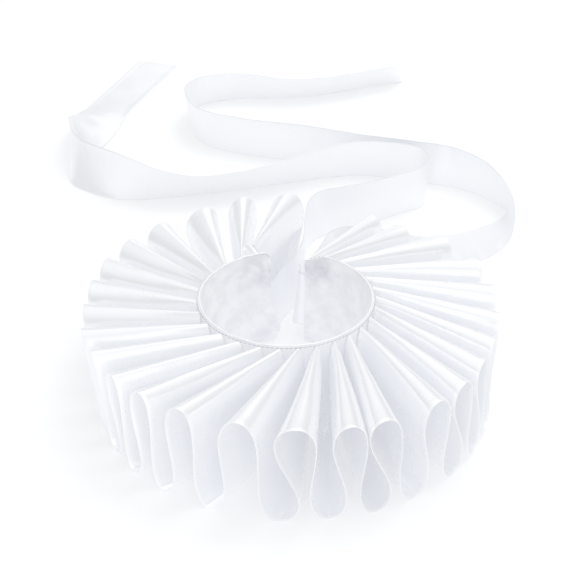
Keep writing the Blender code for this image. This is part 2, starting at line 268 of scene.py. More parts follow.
# Creases pressed into the lining: azimuth and height of the two ends, depth and width.
# Degrees for the azimuths, millimetres for the rest.
LINING_CREASES = (
    (93, 9, 113, 20, 3.4, 2.2),
    (94, 17, 116, 33, 3.2, 2),
    (95, 27, 109, 44, 2.8, 2.2),
    (98, 4, 121, 9, 2.8, 2),
    (100, 70, 112, 78, 3, 2.2),
    (101, 62, 119, 73, 2.8, 2.6),
    (103, 74, 122, 60, 2.6, 4),
    (106, 58, 130, 70, 2.2, 3.5),
    (112, 40, 134, 50, 1.8, 4.5),
    (128, 76, 150, 66, 1.6, 3.5),
    (140, 58, 165, 44, 1.8, 5),
    (160, 70, 178, 60, 1.2, 4),
    (172, 40, 198, 52, 1.6, 6),
    (186, 74, 210, 64, 1.4, 4),
    (205, 30, 228, 46, 1.6, 5),
    (222, 72, 246, 58, 1.8, 4),
    (236, 22, 256, 40, 2.2, 4),
    (250, 36, 272, 18, 2.6, 4),
    (258, 60, 282, 70, 1.4, 4),
    (280, 44, 306, 34, 1.6, 5),
    (298, 70, 322, 56, 1.4, 4.5),
    (322, 40, 348, 30, 1.6, 5),
    (340, 72, 362, 64, 1.2, 4),
    (360, 50, 386, 58, 1.6, 5),
    (384, 74, 404, 62, 1.8, 4),
    (396, 46, 420, 54, 1.8, 4),
    (408, 72, 430, 58, 2.2, 3.5),
    (414, 34, 434, 24, 1.8, 4),
    (419, 76, 436, 70, 3.2, 2),
    (421, 66, 436, 71, 3, 2.2),
    (425, 54, 436, 62, 2.2, 2.2),
)

# Painted shade on the lining near the gap's corners: azimuth, height in mm, reach in mm.
LINING_SHADES = ((105, 70, 27), (116, 66, 18), (433, 72, 24), (422, 70, 18))

# Colours of the lighter hem, of the painted shade on the ribbons' woven edges and the rim's
# stitched sides, of the lining's edges, of the painted shade on the lining near the gap's corners,
# and of the thread, light and dark, darkened as painted shade of the groove below the rim.
HEM_TONE = (0.95, 0.955, 0.97, 1)
SELVEDGE_PAINTED_SHADE_TONE = (0.70, 0.725, 0.78, 1)
RIM_SIDE_PAINTED_SHADE_TONE = (0.50, 0.51, 0.57, 1)
LINING_EDGE_TONE = (0.80, 0.80, 0.84, 1)
LINING_PAINTED_SHADE_TONE = (0.50, 0.50, 0.57, 1)
THREAD_AND_PAINTED_SHADE_LIGHT = (0.50, 0.50, 0.56, 1)
THREAD_AND_PAINTED_SHADE_DARK = (0.36, 0.36, 0.43, 1)

# Where the camera looks, from the neck's middle, and the place and size of each lamp from
# there. The table is square, and its paper wavers between two tones.
LOOK_AT = (1.4 * MM, 137.4 * MM)
LAMPS = (("key", (0.40, 0.20, 1.35), 0.7), ("front", (0.10, -1.35, 0.22), 1.2),
         ("back", (0.02, 1.45, 0.60), 0.7))
TABLE_HALF = 4.0
PAPER_TONES = (0.94, 0.96)


def length(name, description, default, least=0.0):
    """A size, shown to a hundredth of a millimetre."""
    return FloatProperty(name=name, description=description, default=default, min=least,
                         unit="LENGTH", precision=5)


def amount(name, description, default):
    """A strength or a power."""
    return FloatProperty(name=name, description=description, default=default, min=0.0)


def colour(name, description, default):
    """A colour."""
    return FloatVectorProperty(name=name, description=description, default=default,
                               subtype="COLOR", min=0.0, max=1.0)


class PleatSizes(bpy.types.PropertyGroup):
    """Sizes of the pleated strip's cloth"""
    cloth_wall: length("Cloth thickness", "Thickness of the doubled satin", 0.5 * MM)
    hem_wall: length("Hem thickness", "Thickness of the turned hem at the outer edge", 0.62 * MM)
    gather_depth: length("Gather depth", "How far the gathers at the seam stand out", 0.85 * MM)
    gather_reach: length(
        "Gather reach", "How far from the seam the gathers fade out", 26.0 * MM, MM)
    crease_depth: length(
        "Crease depth", "Depth of the long soft troughs in the pleats' walls", 2.0 * MM)
    steps_per_pleat: IntProperty(
        name="Steps per pleat", description="Mesh steps along the strip for each pleat",
        default=60, min=12)


class BandSizes(bpy.types.PropertyGroup):
    """Sizes of the neckband's cloth"""
    band_wall: length(
        "Band thickness", "Thickness of the band's satin with its stiffening", 1.0 * MM)
    lining_wall: length("Lining thickness", "Thickness of the cotton lining", 0.6 * MM)
    crumple: length("Crumple", "Height of the lining's fine crumples", 0.45 * MM)
    flare: FloatProperty(
        name="Flare", description="How far the lining's loose lower left end reaches into the gap",
        default=math.radians(7.0), min=0.0, subtype="ANGLE")
    stitch_length: length(
        "Stitch length", "Length of a hand stitch below the rim", 3.2 * MM, 0.5 * MM)


class TieSizes(bpy.types.PropertyGroup):
    """Sizes of the ribbon ties"""
    wide: length("Width", "Width of the ribbon", 48.0 * MM, 5.0 * MM)
    wall: length("Thickness", "Thickness of the ribbon", 0.45 * MM)
    edge_wall: length("Edge thickness", "Thickness of the woven edges", 0.9 * MM)
    wave: length("Wave", "Height of the soft waves across the ribbon", 0.6 * MM)


class ClothColours(bpy.types.PropertyGroup):
    """Colours of the cloths"""
    satin: colour("Satin", "Colour of the satin", (0.91, 0.927, 0.958))
    satin_shade: colour(
        "Satin shade", "Colour of the satin where the threads turn", (0.865, 0.885, 0.925))
    cotton: colour("Cotton", "Colour of the lining", (0.97, 0.975, 0.99))
    cotton_shade: colour("Cotton shade", "Colour of the lining's mottling", (0.79, 0.795, 0.845))
    # A glow of painted light: the satin gives off its own colour, for light coming through it.
    painted_glow: amount("Light let through", "Light that comes through the thin satin", 0.07)


class StudioSettings(bpy.types.PropertyGroup):
    """The camera and the lights"""
    lens: FloatProperty(
        name="Lens", description="Focal length", default=75.0, min=10.0, unit="CAMERA")
    distance: FloatProperty(
        name="Camera distance", description="Distance from the point the camera looks at",
        default=1.0188, min=0.1, unit="LENGTH", precision=4)
    elevation: FloatProperty(
        name="Camera elevation", description="Angle above the table",
        default=math.radians(32.64), subtype="ANGLE")
    sky: amount("Ceiling", "Strength of the white surround overhead", 1.02)
    horizon: amount("Horizon", "Strength of the surround at table height", 0.30)
    key: amount("Key light", "Power of the soft light above on the right", 4.6)
    front: amount("Front light", "Power of the low soft light in front", 6.0)
    back: amount("Back light", "Power of the low soft light behind the ties", 1.4)
    table_glow: amount("Table glow", "Light that the lit white table gives off", 0.13)
    gamma: FloatProperty(
        name="Gamma", description="How far the view lifts the greys", default=2.1, min=0.1)


class CollarProperties(bpy.types.PropertyGroup):
    """Everything a user would change"""
    pleats: PointerProperty(type=PleatSizes)
    band: PointerProperty(type=BandSizes)
    ties: PointerProperty(type=TieSizes)
    colours: PointerProperty(type=ClothColours)
    studio: PointerProperty(type=StudioSettings)


# Shared node groups.

def place(tree, kind, **values):
    """A node of a kind, with its inputs and settings given by name."""
    made = tree.nodes.new(kind)
    for name, value in values.items():
        if hasattr(made, name):
            setattr(made, name, value)
            continue
        socket = made.inputs[int(name[1:])] if name[1:].isdigit() else made.inputs[
            name.replace("_", " ")]
        if isinstance(value, bpy.types.NodeSocket):
            tree.links.new(value, socket)
        else:
            socket.default_value = value
    return made


def node_group(name, inputs, outputs):
    """An empty node group with named float inputs and outputs."""
    group = bpy.data.node_groups.new(name, "ShaderNodeTree")
    for label, default in inputs:
        socket = group.interface.new_socket(label, in_out="INPUT", socket_type="NodeSocketFloat")
        socket.default_value = default
    for label in outputs:
        group.interface.new_socket(label, in_out="OUTPUT", socket_type="NodeSocketFloat")
    return group, group.nodes.new("NodeGroupInput"), group.nodes.new("NodeGroupOutput")


def satin_threads():
    """Long floating threads along the cloth: their height and their tone."""
    name = "satin threads"
    if name in bpy.data.node_groups:
        return bpy.data.node_groups[name]
    inputs = (("Floats Per Metre", 260.0), ("Threads Per Metre", 1500.0))
    group, given, result = node_group(name, inputs, ("Height", "Tone"))
    cloth = place(group, "ShaderNodeUVMap", uv_map="cloth")
    pitch = place(group, "ShaderNodeCombineXYZ", X=given.outputs["Floats Per Metre"],
                  Y=given.outputs["Threads Per Metre"])
    spot = place(group, "ShaderNodeVectorMath", operation="MULTIPLY", _0=cloth.outputs["UV"],
                 _1=pitch.outputs[0])
    threads = place(group, "ShaderNodeTexNoise", Vector=spot.outputs[0], Scale=1.0, Detail=1.0,
                    Roughness=0.4)
    tone = place(group, "ShaderNodeMapRange", Value=threads.outputs["Fac"], From_Min=0.3,
                 From_Max=0.7)
    group.links.new(threads.outputs["Fac"], result.inputs["Height"])
    group.links.new(tone.outputs[0], result.inputs["Tone"])
    return group


def soft_unevenness():
    """Broad and fine unevenness of handled cloth: a mask and a height."""
    name = "soft unevenness"
    if name in bpy.data.node_groups:
        return bpy.data.node_groups[name]
    inputs = (("Broad Scale", 18.0), ("Fine Scale", 140.0))
    group, given, result = node_group(name, inputs, ("Mask", "Height"))
    place_on = place(group, "ShaderNodeTexCoord")
    broad = place(group, "ShaderNodeTexNoise", Vector=place_on.outputs["Object"],
                  Scale=given.outputs["Broad Scale"], Detail=3.0, Roughness=0.55)
    fine = place(group, "ShaderNodeTexNoise", Vector=place_on.outputs["Object"],
                 Scale=given.outputs["Fine Scale"], Detail=1.0, Roughness=0.4)
    mask = place(group, "ShaderNodeMapRange", Value=broad.outputs["Fac"], From_Min=0.35,
                 From_Max=0.65)
    group.links.new(mask.outputs[0], result.inputs["Mask"])
    group.links.new(fine.outputs["Fac"], result.inputs["Height"])
    return group


def edge_wear_and_shade():
    """A broken band along the cloth's edges, by how far across a point is: wear and painted shade.
    """
    name = "edge wear"
    if name in bpy.data.node_groups:
        return bpy.data.node_groups[name]
    inputs = (("Cloth Width", 0.088), ("Edge", 2.0 * MM))
    group, given, result = node_group(name, inputs, ("Wear",))
    cloth = place(group, "ShaderNodeUVMap", uv_map="cloth")
    parts = place(group, "ShaderNodeSeparateXYZ", Vector=cloth.outputs["UV"])
    far = place(group, "ShaderNodeMath", operation="SUBTRACT",
                _0=given.outputs["Cloth Width"], _1=parts.outputs["Y"])
    near = place(group, "ShaderNodeMath", operation="MINIMUM", _0=far.outputs[0],
                 _1=parts.outputs["Y"])
    broken = place(group, "ShaderNodeTexNoise", Vector=cloth.outputs["UV"], Scale=260.0,
                   Detail=3.0)
    reach = place(group, "ShaderNodeMath", operation="MULTIPLY", _0=given.outputs["Edge"],
                  _1=broken.outputs["Fac"])
    wide = place(group, "ShaderNodeMath", operation="MULTIPLY", _0=reach.outputs[0], _1=2.0)
    wear_and_shade = place(group, "ShaderNodeMapRange", Value=near.outputs[0], From_Min=0.0,
                 From_Max=wide.outputs[0], To_Min=1.0, To_Max=0.0)
    group.links.new(wear_and_shade.outputs[0], result.inputs["Wear"])
    return group


def principled(name):
    """A new material, its node tree and its Principled shader."""
    made = bpy.data.materials.new(name)
    made.use_nodes = True
    return made, made.node_tree, made.node_tree.nodes["Principled BSDF"]


def use_group(tree, group, **values):
    """A node that uses a group, with the group's inputs given by name."""
    made = tree.nodes.new("ShaderNodeGroup")
    made.node_tree = group
    for name, value in values.items():
        made.inputs[name.replace("_", " ")].default_value = value
    return made


def colour_mix(tree, share, one, two, blend="MIX"):
    """A colour between two, by a share that changes over the surface."""
    made = place(tree, "ShaderNodeMix", data_type="RGBA", blend_type=blend)
    for socket, value in zip((made.inputs[0], made.inputs[6], made.inputs[7]), (share, one, two)):
        if isinstance(value, bpy.types.NodeSocket):
            tree.links.new(value, socket)
        else:
            socket.default_value = value
    return made.outputs[2]


def satin_material(name, colours, width, rough=0.26, edge=2.0 * MM, edge_tone=HEM_TONE,
                   edge_share=0.4, glow_share=1.0):
    """White satin: floating threads, soft unevenness, duller toned edges, and a glow of painted
    light.
    """
    made, tree, shader = principled(name)
    threads = use_group(tree, satin_threads())
    uneven = use_group(tree, soft_unevenness())
    wear_and_shade = use_group(tree, edge_wear_and_shade(), Cloth_Width=width, Edge=edge)
    base = (*colours.satin, 1)
    shade = (*colours.satin_shade, 1)
    toned = colour_mix(tree, threads.outputs["Tone"], shade, base)
    less = place(tree, "ShaderNodeMath", operation="MULTIPLY", _0=uneven.outputs["Mask"], _1=0.35)
    mottled = colour_mix(tree, less.outputs[0], toned, shade)
    wear_and_shade_share = place(tree, "ShaderNodeMath", operation="MULTIPLY", _0=wear_and_shade.outputs["Wear"],
                 _1=edge_share)
    # Edge tone: lighter on the hem, painted shade on the rim's sides and the ribbons' woven edges.
    final = colour_mix(tree, wear_and_shade_share.outputs[0], mottled, edge_tone)
    tree.links.new(final, shader.inputs["Base Color"])
    gloss = place(tree, "ShaderNodeMapRange", Value=uneven.outputs["Mask"], To_Min=rough - 0.05,
                  To_Max=rough + 0.08)
    dull = place(tree, "ShaderNodeMath", operation="MULTIPLY_ADD", _0=wear_and_shade.outputs["Wear"],
                 _1=0.15, _2=gloss.outputs[0])
    tree.links.new(dull.outputs[0], shader.inputs["Roughness"])
    weave = place(tree, "ShaderNodeBump", Strength=0.12, Distance=0.03 * MM,
                  Height=threads.outputs["Height"])
    soft = place(tree, "ShaderNodeBump", Strength=0.3, Distance=0.12 * MM,
                 Height=uneven.outputs["Height"], Normal=weave.outputs[0])
    tree.links.new(soft.outputs[0], shader.inputs["Normal"])
    shader.inputs["Specular IOR Level"].default_value = 0.6
    shader.inputs["Metallic"].default_value = 0.45
    # Painted light: the satin glows with its own colour, standing in for light through the thin
    # cloth.
    shader.inputs["Emission Color"].default_value = base
    shader.inputs["Emission Strength"].default_value = colours.painted_glow * glow_share
    shader.inputs["Sheen Weight"].default_value = 0.15
    shader.inputs["Sheen Roughness"].default_value = 0.4
    return made


def cotton_material(name, colours, width):
    """Off-white cotton: a plain weave, crumpled, mottled grey and mauve; painted shade near the
    gap.
    """
    made, tree, shader = principled(name)
    warp = use_group(tree, satin_threads(), Floats_Per_Metre=500.0, Threads_Per_Metre=1400.0)
    weft = use_group(tree, satin_threads(), Floats_Per_Metre=1400.0, Threads_Per_Metre=450.0)
    weave = place(tree, "ShaderNodeMath", operation="ADD", _0=warp.outputs["Height"],
                  _1=weft.outputs["Height"])
    uneven = use_group(tree, soft_unevenness(), Broad_Scale=74.0, Fine_Scale=260.0)
    wear_and_shade = use_group(tree, edge_wear_and_shade(), Cloth_Width=width, Edge=3.0 * MM)
    mottled = colour_mix(tree, uneven.outputs["Mask"], (*colours.cotton, 1),
                         (*colours.cotton_shade, 1))
    darker = place(tree, "ShaderNodeMath", operation="MULTIPLY", _0=warp.outputs["Tone"],
                   _1=0.35)
    threads = colour_mix(tree, darker.outputs[0], mottled, (*colours.cotton_shade, 1))
    wear_and_shade_share = place(tree, "ShaderNodeMath", operation="MULTIPLY", _0=wear_and_shade.outputs["Wear"], _1=0.4)
    edged = colour_mix(tree, wear_and_shade_share.outputs[0], threads, LINING_EDGE_TONE)
    place_on = place(tree, "ShaderNodeTexCoord")
    # Painted shade near the gap's corners, broken up by the mottling.
    shadow = 0.0
    for azimuth, height, reach in LINING_SHADES:
        spot = polar(azimuth, BAND_OUTER_R, height * MM) + NECK
        apart = place(tree, "ShaderNodeVectorMath", operation="DISTANCE",
                      _0=place_on.outputs["Object"], _1=spot.tolist())
        near = place(tree, "ShaderNodeMapRange", Value=apart.outputs["Value"],
                     From_Min=0.15 * reach * MM, From_Max=reach * MM, To_Min=1.0, To_Max=0.0)
        shadow = place(tree, "ShaderNodeMath", operation="MAXIMUM", _0=near.outputs[0],
                       _1=shadow).outputs[0]
    patchy = place(tree, "ShaderNodeMapRange", Value=uneven.outputs["Mask"], To_Min=0.3)
    painted_shade = place(tree, "ShaderNodeMath", operation="MULTIPLY", _0=shadow,
                    _1=patchy.outputs[0])
    final = colour_mix(tree, painted_shade.outputs[0], edged, LINING_PAINTED_SHADE_TONE)
    tree.links.new(final, shader.inputs["Base Color"])
    shader.inputs["Roughness"].default_value = 0.88
    shader.inputs["Specular IOR Level"].default_value = 0.25
    grain = place(tree, "ShaderNodeBump", Strength=0.5, Distance=0.12 * MM,
                  Height=weave.outputs[0])
    soft = place(tree, "ShaderNodeBump", Strength=0.6, Distance=0.8 * MM,
                 Height=uneven.outputs["Height"], Normal=grain.outputs[0])
    tree.links.new(soft.outputs[0], shader.inputs["Normal"])
    return made


def thread_material(name):
    """Sewing thread: twisted, grey, darkened as painted shade of the groove below the rim."""
    made, tree, shader = principled(name)
    uneven = use_group(tree, soft_unevenness(), Broad_Scale=90.0, Fine_Scale=900.0)
    final = colour_mix(tree, uneven.outputs["Mask"], THREAD_AND_PAINTED_SHADE_LIGHT, THREAD_AND_PAINTED_SHADE_DARK)
    tree.links.new(final, shader.inputs["Base Color"])
    shader.inputs["Roughness"].default_value = 0.7
    twist = place(tree, "ShaderNodeBump", Strength=0.5, Distance=0.1 * MM,
                  Height=uneven.outputs["Height"])
    tree.links.new(twist.outputs[0], shader.inputs["Normal"])
    return made


# Cloth forms.

def column(rows, names, name):
    """One named column of a table."""
    return np.array([row[names.index(name)] for row in rows], float)


def polar(azimuth, radius, height):
    """Points from azimuths in degrees, radii and heights."""
    angle = np.radians(azimuth)
    flat = np.broadcast_arrays(radius * np.cos(angle), radius * np.sin(angle), height + 0 * angle)
    return np.stack(flat, -1)


def grid_normals(grid):
    """Unit normals of a grid of points, from its two directions."""
    normal = np.cross(np.gradient(grid, axis=0), np.gradient(grid, axis=1))
    return normal / np.maximum(np.linalg.norm(normal, axis=-1, keepdims=True), 1e-12)


def lengths(grid, axis):
    """How far along the cloth each point of a grid is, measured on the middle line."""
    line = grid[:, grid.shape[1] // 2] if axis == 0 else grid[grid.shape[0] // 2]
    steps = np.linalg.norm(np.diff(line, axis=0), axis=1)
    return np.concatenate([[0.0], np.cumsum(steps)])


def wrinkles(points, scale, seed):
    """Smooth noise from -1 to 1 at points, in waves about scale apart."""
    shifted = points / scale + seed
    flat = [noise.noise(Vector(p)) for p in shifted.reshape(-1, 3)]
    return np.array(flat).reshape(points.shape[:-1])


def waver(line, scale, seed):
    """Smooth noise along a line, from -1 to 1."""
    return wrinkles(np.stack([line, 0 * line, 0 * line], -1), scale, seed)


def new_mesh(name, points, faces):
    """A mesh from points given round the neck's middle."""
    data = bpy.data.meshes.new(name)
    data.from_pydata((points + NECK).tolist(), [], faces)
    return data


def cloth_shell(name, grid, wall, finish):
    """A thin closed shell of cloth round a grid, with its lengths as a map of the cloth."""
    normal = grid_normals(grid)
    half = np.broadcast_to(wall, grid.shape[:2])[..., None] / 2
    skins = [grid + normal * half, grid - normal * half]
    for skin in skins:
        np.maximum(skin[..., 2], 0.0, out=skin[..., 2])
    rows, columns = grid.shape[:2]
    here = np.arange(rows * columns).reshape(rows, columns)
    there = here + rows * columns
    quads = []
    for side, turn in ((here, 1), (there, -1)):
        quad = np.stack([side[:-1, :-1], side[1:, :-1], side[1:, 1:], side[:-1, 1:]], -1)
        quads.append(quad.reshape(-1, 4)[:, ::turn])
    for j, turn in ((0, 1), (columns - 1, -1)):
        quad = np.stack([here[:-1, j], there[:-1, j], there[1:, j], here[1:, j]], -1)
        quads.append(quad[:, ::turn])
    for i, turn in ((0, 1), (rows - 1, -1)):
        quad = np.stack([here[i, :-1], here[i, 1:], there[i, 1:], there[i, :-1]], -1)
        quads.append(quad[:, ::turn])
    faces = np.concatenate(quads)
    points = np.concatenate([skin.reshape(-1, 3) for skin in skins])
    data = new_mesh(name, points, faces.tolist())
    along, across = np.meshgrid(lengths(grid, 0), lengths(grid, 1), indexing="ij")
    flat = np.tile(np.stack([along, across], -1).reshape(-1, 2), (2, 1))
    chart = data.uv_layers.new(name="cloth")
    chart.data.foreach_set("uv", flat[faces.ravel()].ravel())
    return finished(name, data, finish)


def finished(name, data, finish):
    """A piece from a mesh: smooth but for its sharp edges, and riding on the frame."""
    data.validate()
    data.shade_smooth()
    data.set_sharp_from_angle(angle=math.radians(50))
    data.materials.append(finish)
    piece = bpy.data.objects.new(name, data)
    bpy.context.collection.objects.link(piece)
    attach(piece, BODY)
    return piece


def strip_phases(steps_per_pleat):
    """Places along the strip in pleats, whole on a crest, crowded at crests and feet."""
    steps = np.arange(-2 * steps_per_pleat, (len(PLEATS) + 3) * steps_per_pleat)
    turn = 2 * math.pi * (steps + 0.5) / steps_per_pleat
    phase = (turn - CREST_CROWDING * np.sin(2 * turn)) / (2 * math.pi)
    inside = phase[(phase > FIRST_FOLD) & (phase < LAST_FOLD)]
    return np.concatenate([[FIRST_FOLD], inside, [LAST_FOLD]])


def strip_edge(phase, knots_az, crest_r, foot_r, crest_z, foot_z, swell, lean=0.0):
    """One edge of the strip: crests and feet at their places, loops swelling between."""
    count = len(PLEATS)
    pleat = np.clip(np.floor(phase + 0.5).astype(int), 0, count - 1)
    turn = 2 * math.pi * (phase - pleat)
    height = (1 + np.cos(turn)) / 2
    foot = np.where(phase < pleat, foot_r[pleat], foot_r[pleat + 1])
    radius = foot + (crest_r[pleat] - foot) * height
    sideways = np.where(phase < pleat, swell[0][pleat], swell[1][pleat]) * np.sin(2 * turn)
    sideways += np.where(phase < 0, lean, 0.0) * np.sin(turn)
    azimuth = np.interp(phase, np.arange(-0.5, count, 0.5), knots_az)
    azimuth += np.degrees(sideways / radius)
    return polar(azimuth, radius, foot_z + (crest_z[pleat] - foot_z) * height)


def strip_form(phase, across):
    """The pleated strip's middle surface at places along it and across it."""
    count = len(PLEATS)
    seam = column(PLEATS, PLEAT_COLUMNS, "seam_az")
    seam_knots = np.empty(2 * count + 1)
    seam_knots[1::2] = seam
    seam_knots[2:-1:2] = (seam[1:] + seam[:-1]) / 2
    seam_knots[0] = START_SEAM_AZ
    seam_knots[-1] = END_SEAM_AZ
    tip_knots = np.empty(2 * count + 1)
    tip_knots[1::2] = column(PLEATS, PLEAT_COLUMNS, "tip_az")
    tip_knots[2::2] = column(PLEATS, PLEAT_COLUMNS, "foot_az")
    tip_knots[0] = START_FOOT_AZ

    seam_crest_r = np.full(count, SEAM_R)
    seam_foot_r = np.full(count + 1, SEAM_R)
    seam_foot_r[0] += START_STANDS_OFF[0]
    seam_crest_r[0] += START_STANDS_OFF[1]
    foot_r = np.concatenate([[START_FOOT_R], column(PLEATS, PLEAT_COLUMNS, "foot_r")]) * MM
    seam_swell = np.full((2, count), PINCHED_SWELL)
    seam_swell[:, 0] = FIRST_SEAM_SWELL
    inner = strip_edge(phase, seam_knots, seam_crest_r, seam_foot_r,
                       SEAM_CREST_Z - band_dip(seam), SEAM_VALLEY_Z, seam_swell)
    swell = [column(PLEATS, PLEAT_COLUMNS, name) * MM for name in ("rise", "fall")]
    outer = strip_edge(phase, tip_knots, column(PLEATS, PLEAT_COLUMNS, "tip_r") * MM, foot_r,
                       column(PLEATS, PLEAT_COLUMNS, "tip_z") * MM, STRIP_FLOOR_Z, swell,
                       START_LEAN)
    share = across[None, :, None]
    grid = inner[:, None] * (1 - share) + outer[:, None] * share
    settled = np.clip(1 - share[..., 0] / VALLEY_SETTLES_AT, 0, 1)
    straight = 1 - share[..., 0]
    weight = np.clip(1 - grid[..., 2] / SEAM_CREST_Z, 0, 1)
    grid[..., 2] -= (SEAM_VALLEY_Z - STRIP_FLOOR_Z) * (straight - settled) * weight
    loose = (phase < 0) | (phase > count - 1)
    grid[..., 2] = np.maximum(grid[..., 2], STRIP_FLOOR_Z + HEM_LIFT * loose[:, None])
    return grid


def smooth_rows(rows, steps):
    """Rows of numbers, with more between them on a smooth curve through each."""
    rows = np.asarray(rows, float)
    ends = np.vstack([2 * rows[0] - rows[1], rows, 2 * rows[-1] - rows[-2]])
    made = []
    for k in range(len(rows) - 1):
        before, start, stop, after = ends[k:k + 4]
        for t in np.arange(steps) / steps:
            bend = (2 * before - 5 * start + 4 * stop - after) * t * t
            twist = (3 * start - 3 * stop + after - before) * t ** 3
            made.append(0.5 * (2 * start + (stop - before) * t + bend + twist))
    made.append(rows[-1])
    return np.array(made)


def ribbon_form(rows, steps_per_row, across, wide, standoff):
    """A ribbon's middle surface: along it, then across it from its first edge."""
    azimuth = np.radians(column(rows, TIE_COLUMNS, "across_az"))
    rise = np.radians(column(rows, TIE_COLUMNS, "across_el"))
    flat = np.cos(rise)
    way = np.stack([flat * np.cos(azimuth), flat * np.sin(azimuth), np.sin(rise)], -1)
    foot = np.stack([column(rows, TIE_COLUMNS, name) * MM for name in ("x", "y", "lift")], -1)
    line = smooth_rows(np.hstack([foot, way]), steps_per_row)
    edge = line[:, :3]
    way = line[:, 3:] / np.linalg.norm(line[:, 3:], axis=1, keepdims=True)
    edge[:, 2] = np.maximum(edge[:, 2], 0) + np.maximum(0, -way[:, 2]) * wide
    edge[:, 2] += standoff * np.hypot(way[:, 0], way[:, 1])
    return edge[:, None] + way[:, None] * across[None, :, None] * wide


def band_dip(azimuth):
    """How far the band's top edge is lowered at an azimuth."""
    return END_DIP * np.exp(-((azimuth - BAND_RIGHT_END_AZ) / END_DIP_SPREAD) ** 2)


def rim_dip(azimuth):
    """How far the rim is lowered: as the band, and round the left end's worn corner."""
    corner = CORNER_DIP * np.exp(-((azimuth - BAND_LEFT_END_AZ) / CORNER_SPREAD) ** 2)
    return band_dip(azimuth) + corner


def band_grid(radius, steps_round, steps_up):
    """A ply of the band, round the neck and up it, with its azimuths and heights."""
    azimuth = np.linspace(BAND_LEFT_END_AZ, BAND_RIGHT_END_AZ, steps_round)
    share = np.linspace(0.0, 1.0, steps_up)
    reach = (BAND_TOP_Z - rim_dip(azimuth) - BAND_BOTTOM_Z)[:, None]
    height = BAND_BOTTOM_Z + reach * share[None, :]
    turn = np.broadcast_to(azimuth[:, None], height.shape)
    return polar(turn, radius, height), turn, height


class RUFF_OT_stage(bpy.types.Operator):
    """Sets the pale floor, the soft lights and the camera"""
    bl_idname = "ruff.stage"
    bl_label = "Set the Studio"

    def execute(self, context):
        studio = context.scene.collar.studio
        middle = Vector((NECK_X + LOOK_AT[0], NECK_Y + LOOK_AT[1], 0.0))
        tilt = studio.elevation
        camera = bpy.data.objects.new("camera", bpy.data.cameras.new("camera"))
        context.collection.objects.link(camera)
        camera.data.lens = studio.lens
        camera.data.sensor_width = 36.0
        camera.data.clip_start = 0.05
        camera.location = middle - Vector((0, math.cos(tilt), -math.sin(tilt))) * studio.distance
        camera.rotation_euler = (math.pi / 2 - tilt, 0, 0)
        context.scene.camera = camera

        size = TABLE_HALF
        data = bpy.data.meshes.new("floor")
        corners = [(-size, -size, 0), (size, -size, 0), (size, size, 0), (-size, size, 0)]
        data.from_pydata(corners, [], [(0, 1, 2, 3)])
        floor = bpy.data.objects.new("floor", data)
        made, tree, shader = principled("paper")
        grain = place(tree, "ShaderNodeTexNoise", Scale=300.0, Detail=3.0)
        tone = place(tree, "ShaderNodeMapRange", Value=grain.outputs["Fac"],
                     To_Min=PAPER_TONES[0], To_Max=PAPER_TONES[1])
        tree.links.new(tone.outputs[0], shader.inputs["Base Color"])
        shader.inputs["Roughness"].default_value = 0.9
        shader.inputs["Specular IOR Level"].default_value = 0.1
        shader.inputs["Emission Color"].default_value = (1, 1, 1, 1)
        shader.inputs["Emission Strength"].default_value = studio.table_glow
        data.materials.append(made)
        context.collection.objects.link(floor)

        world = bpy.data.worlds.new("surround")
        context.scene.world = world
        world.use_nodes = True
        sky = world.node_tree.nodes["Background"]
        sky.inputs["Color"].default_value = (0.965, 0.98, 1.0, 1)
        way = place(world.node_tree, "ShaderNodeTexCoord")
        parts = place(world.node_tree, "ShaderNodeSeparateXYZ", Vector=way.outputs["Generated"])
        height = place(world.node_tree, "ShaderNodeMapRange", interpolation_type="SMOOTHSTEP",
                       Value=parts.outputs["Z"], From_Min=0.25, From_Max=0.95,
                       To_Min=studio.horizon, To_Max=studio.sky)
        world.node_tree.links.new(height.outputs[0], sky.inputs["Strength"])

        for name, offset, wide in LAMPS:
            light = bpy.data.lights.new(name, "AREA")
            light.energy = getattr(studio, name)
            light.size = wide
            lamp = bpy.data.objects.new(name, light)
            context.collection.objects.link(lamp)
            lamp.location = middle + Vector(offset)
            lamp.rotation_euler = (-Vector(offset)).to_track_quat("-Z", "Y").to_euler()
        context.scene.view_settings.view_transform = "Standard"
        context.scene.view_settings.look = "None"
        context.scene.view_settings.gamma = studio.gamma
        context.scene.cycles.diffuse_bounces = 12
        return {"FINISHED"}


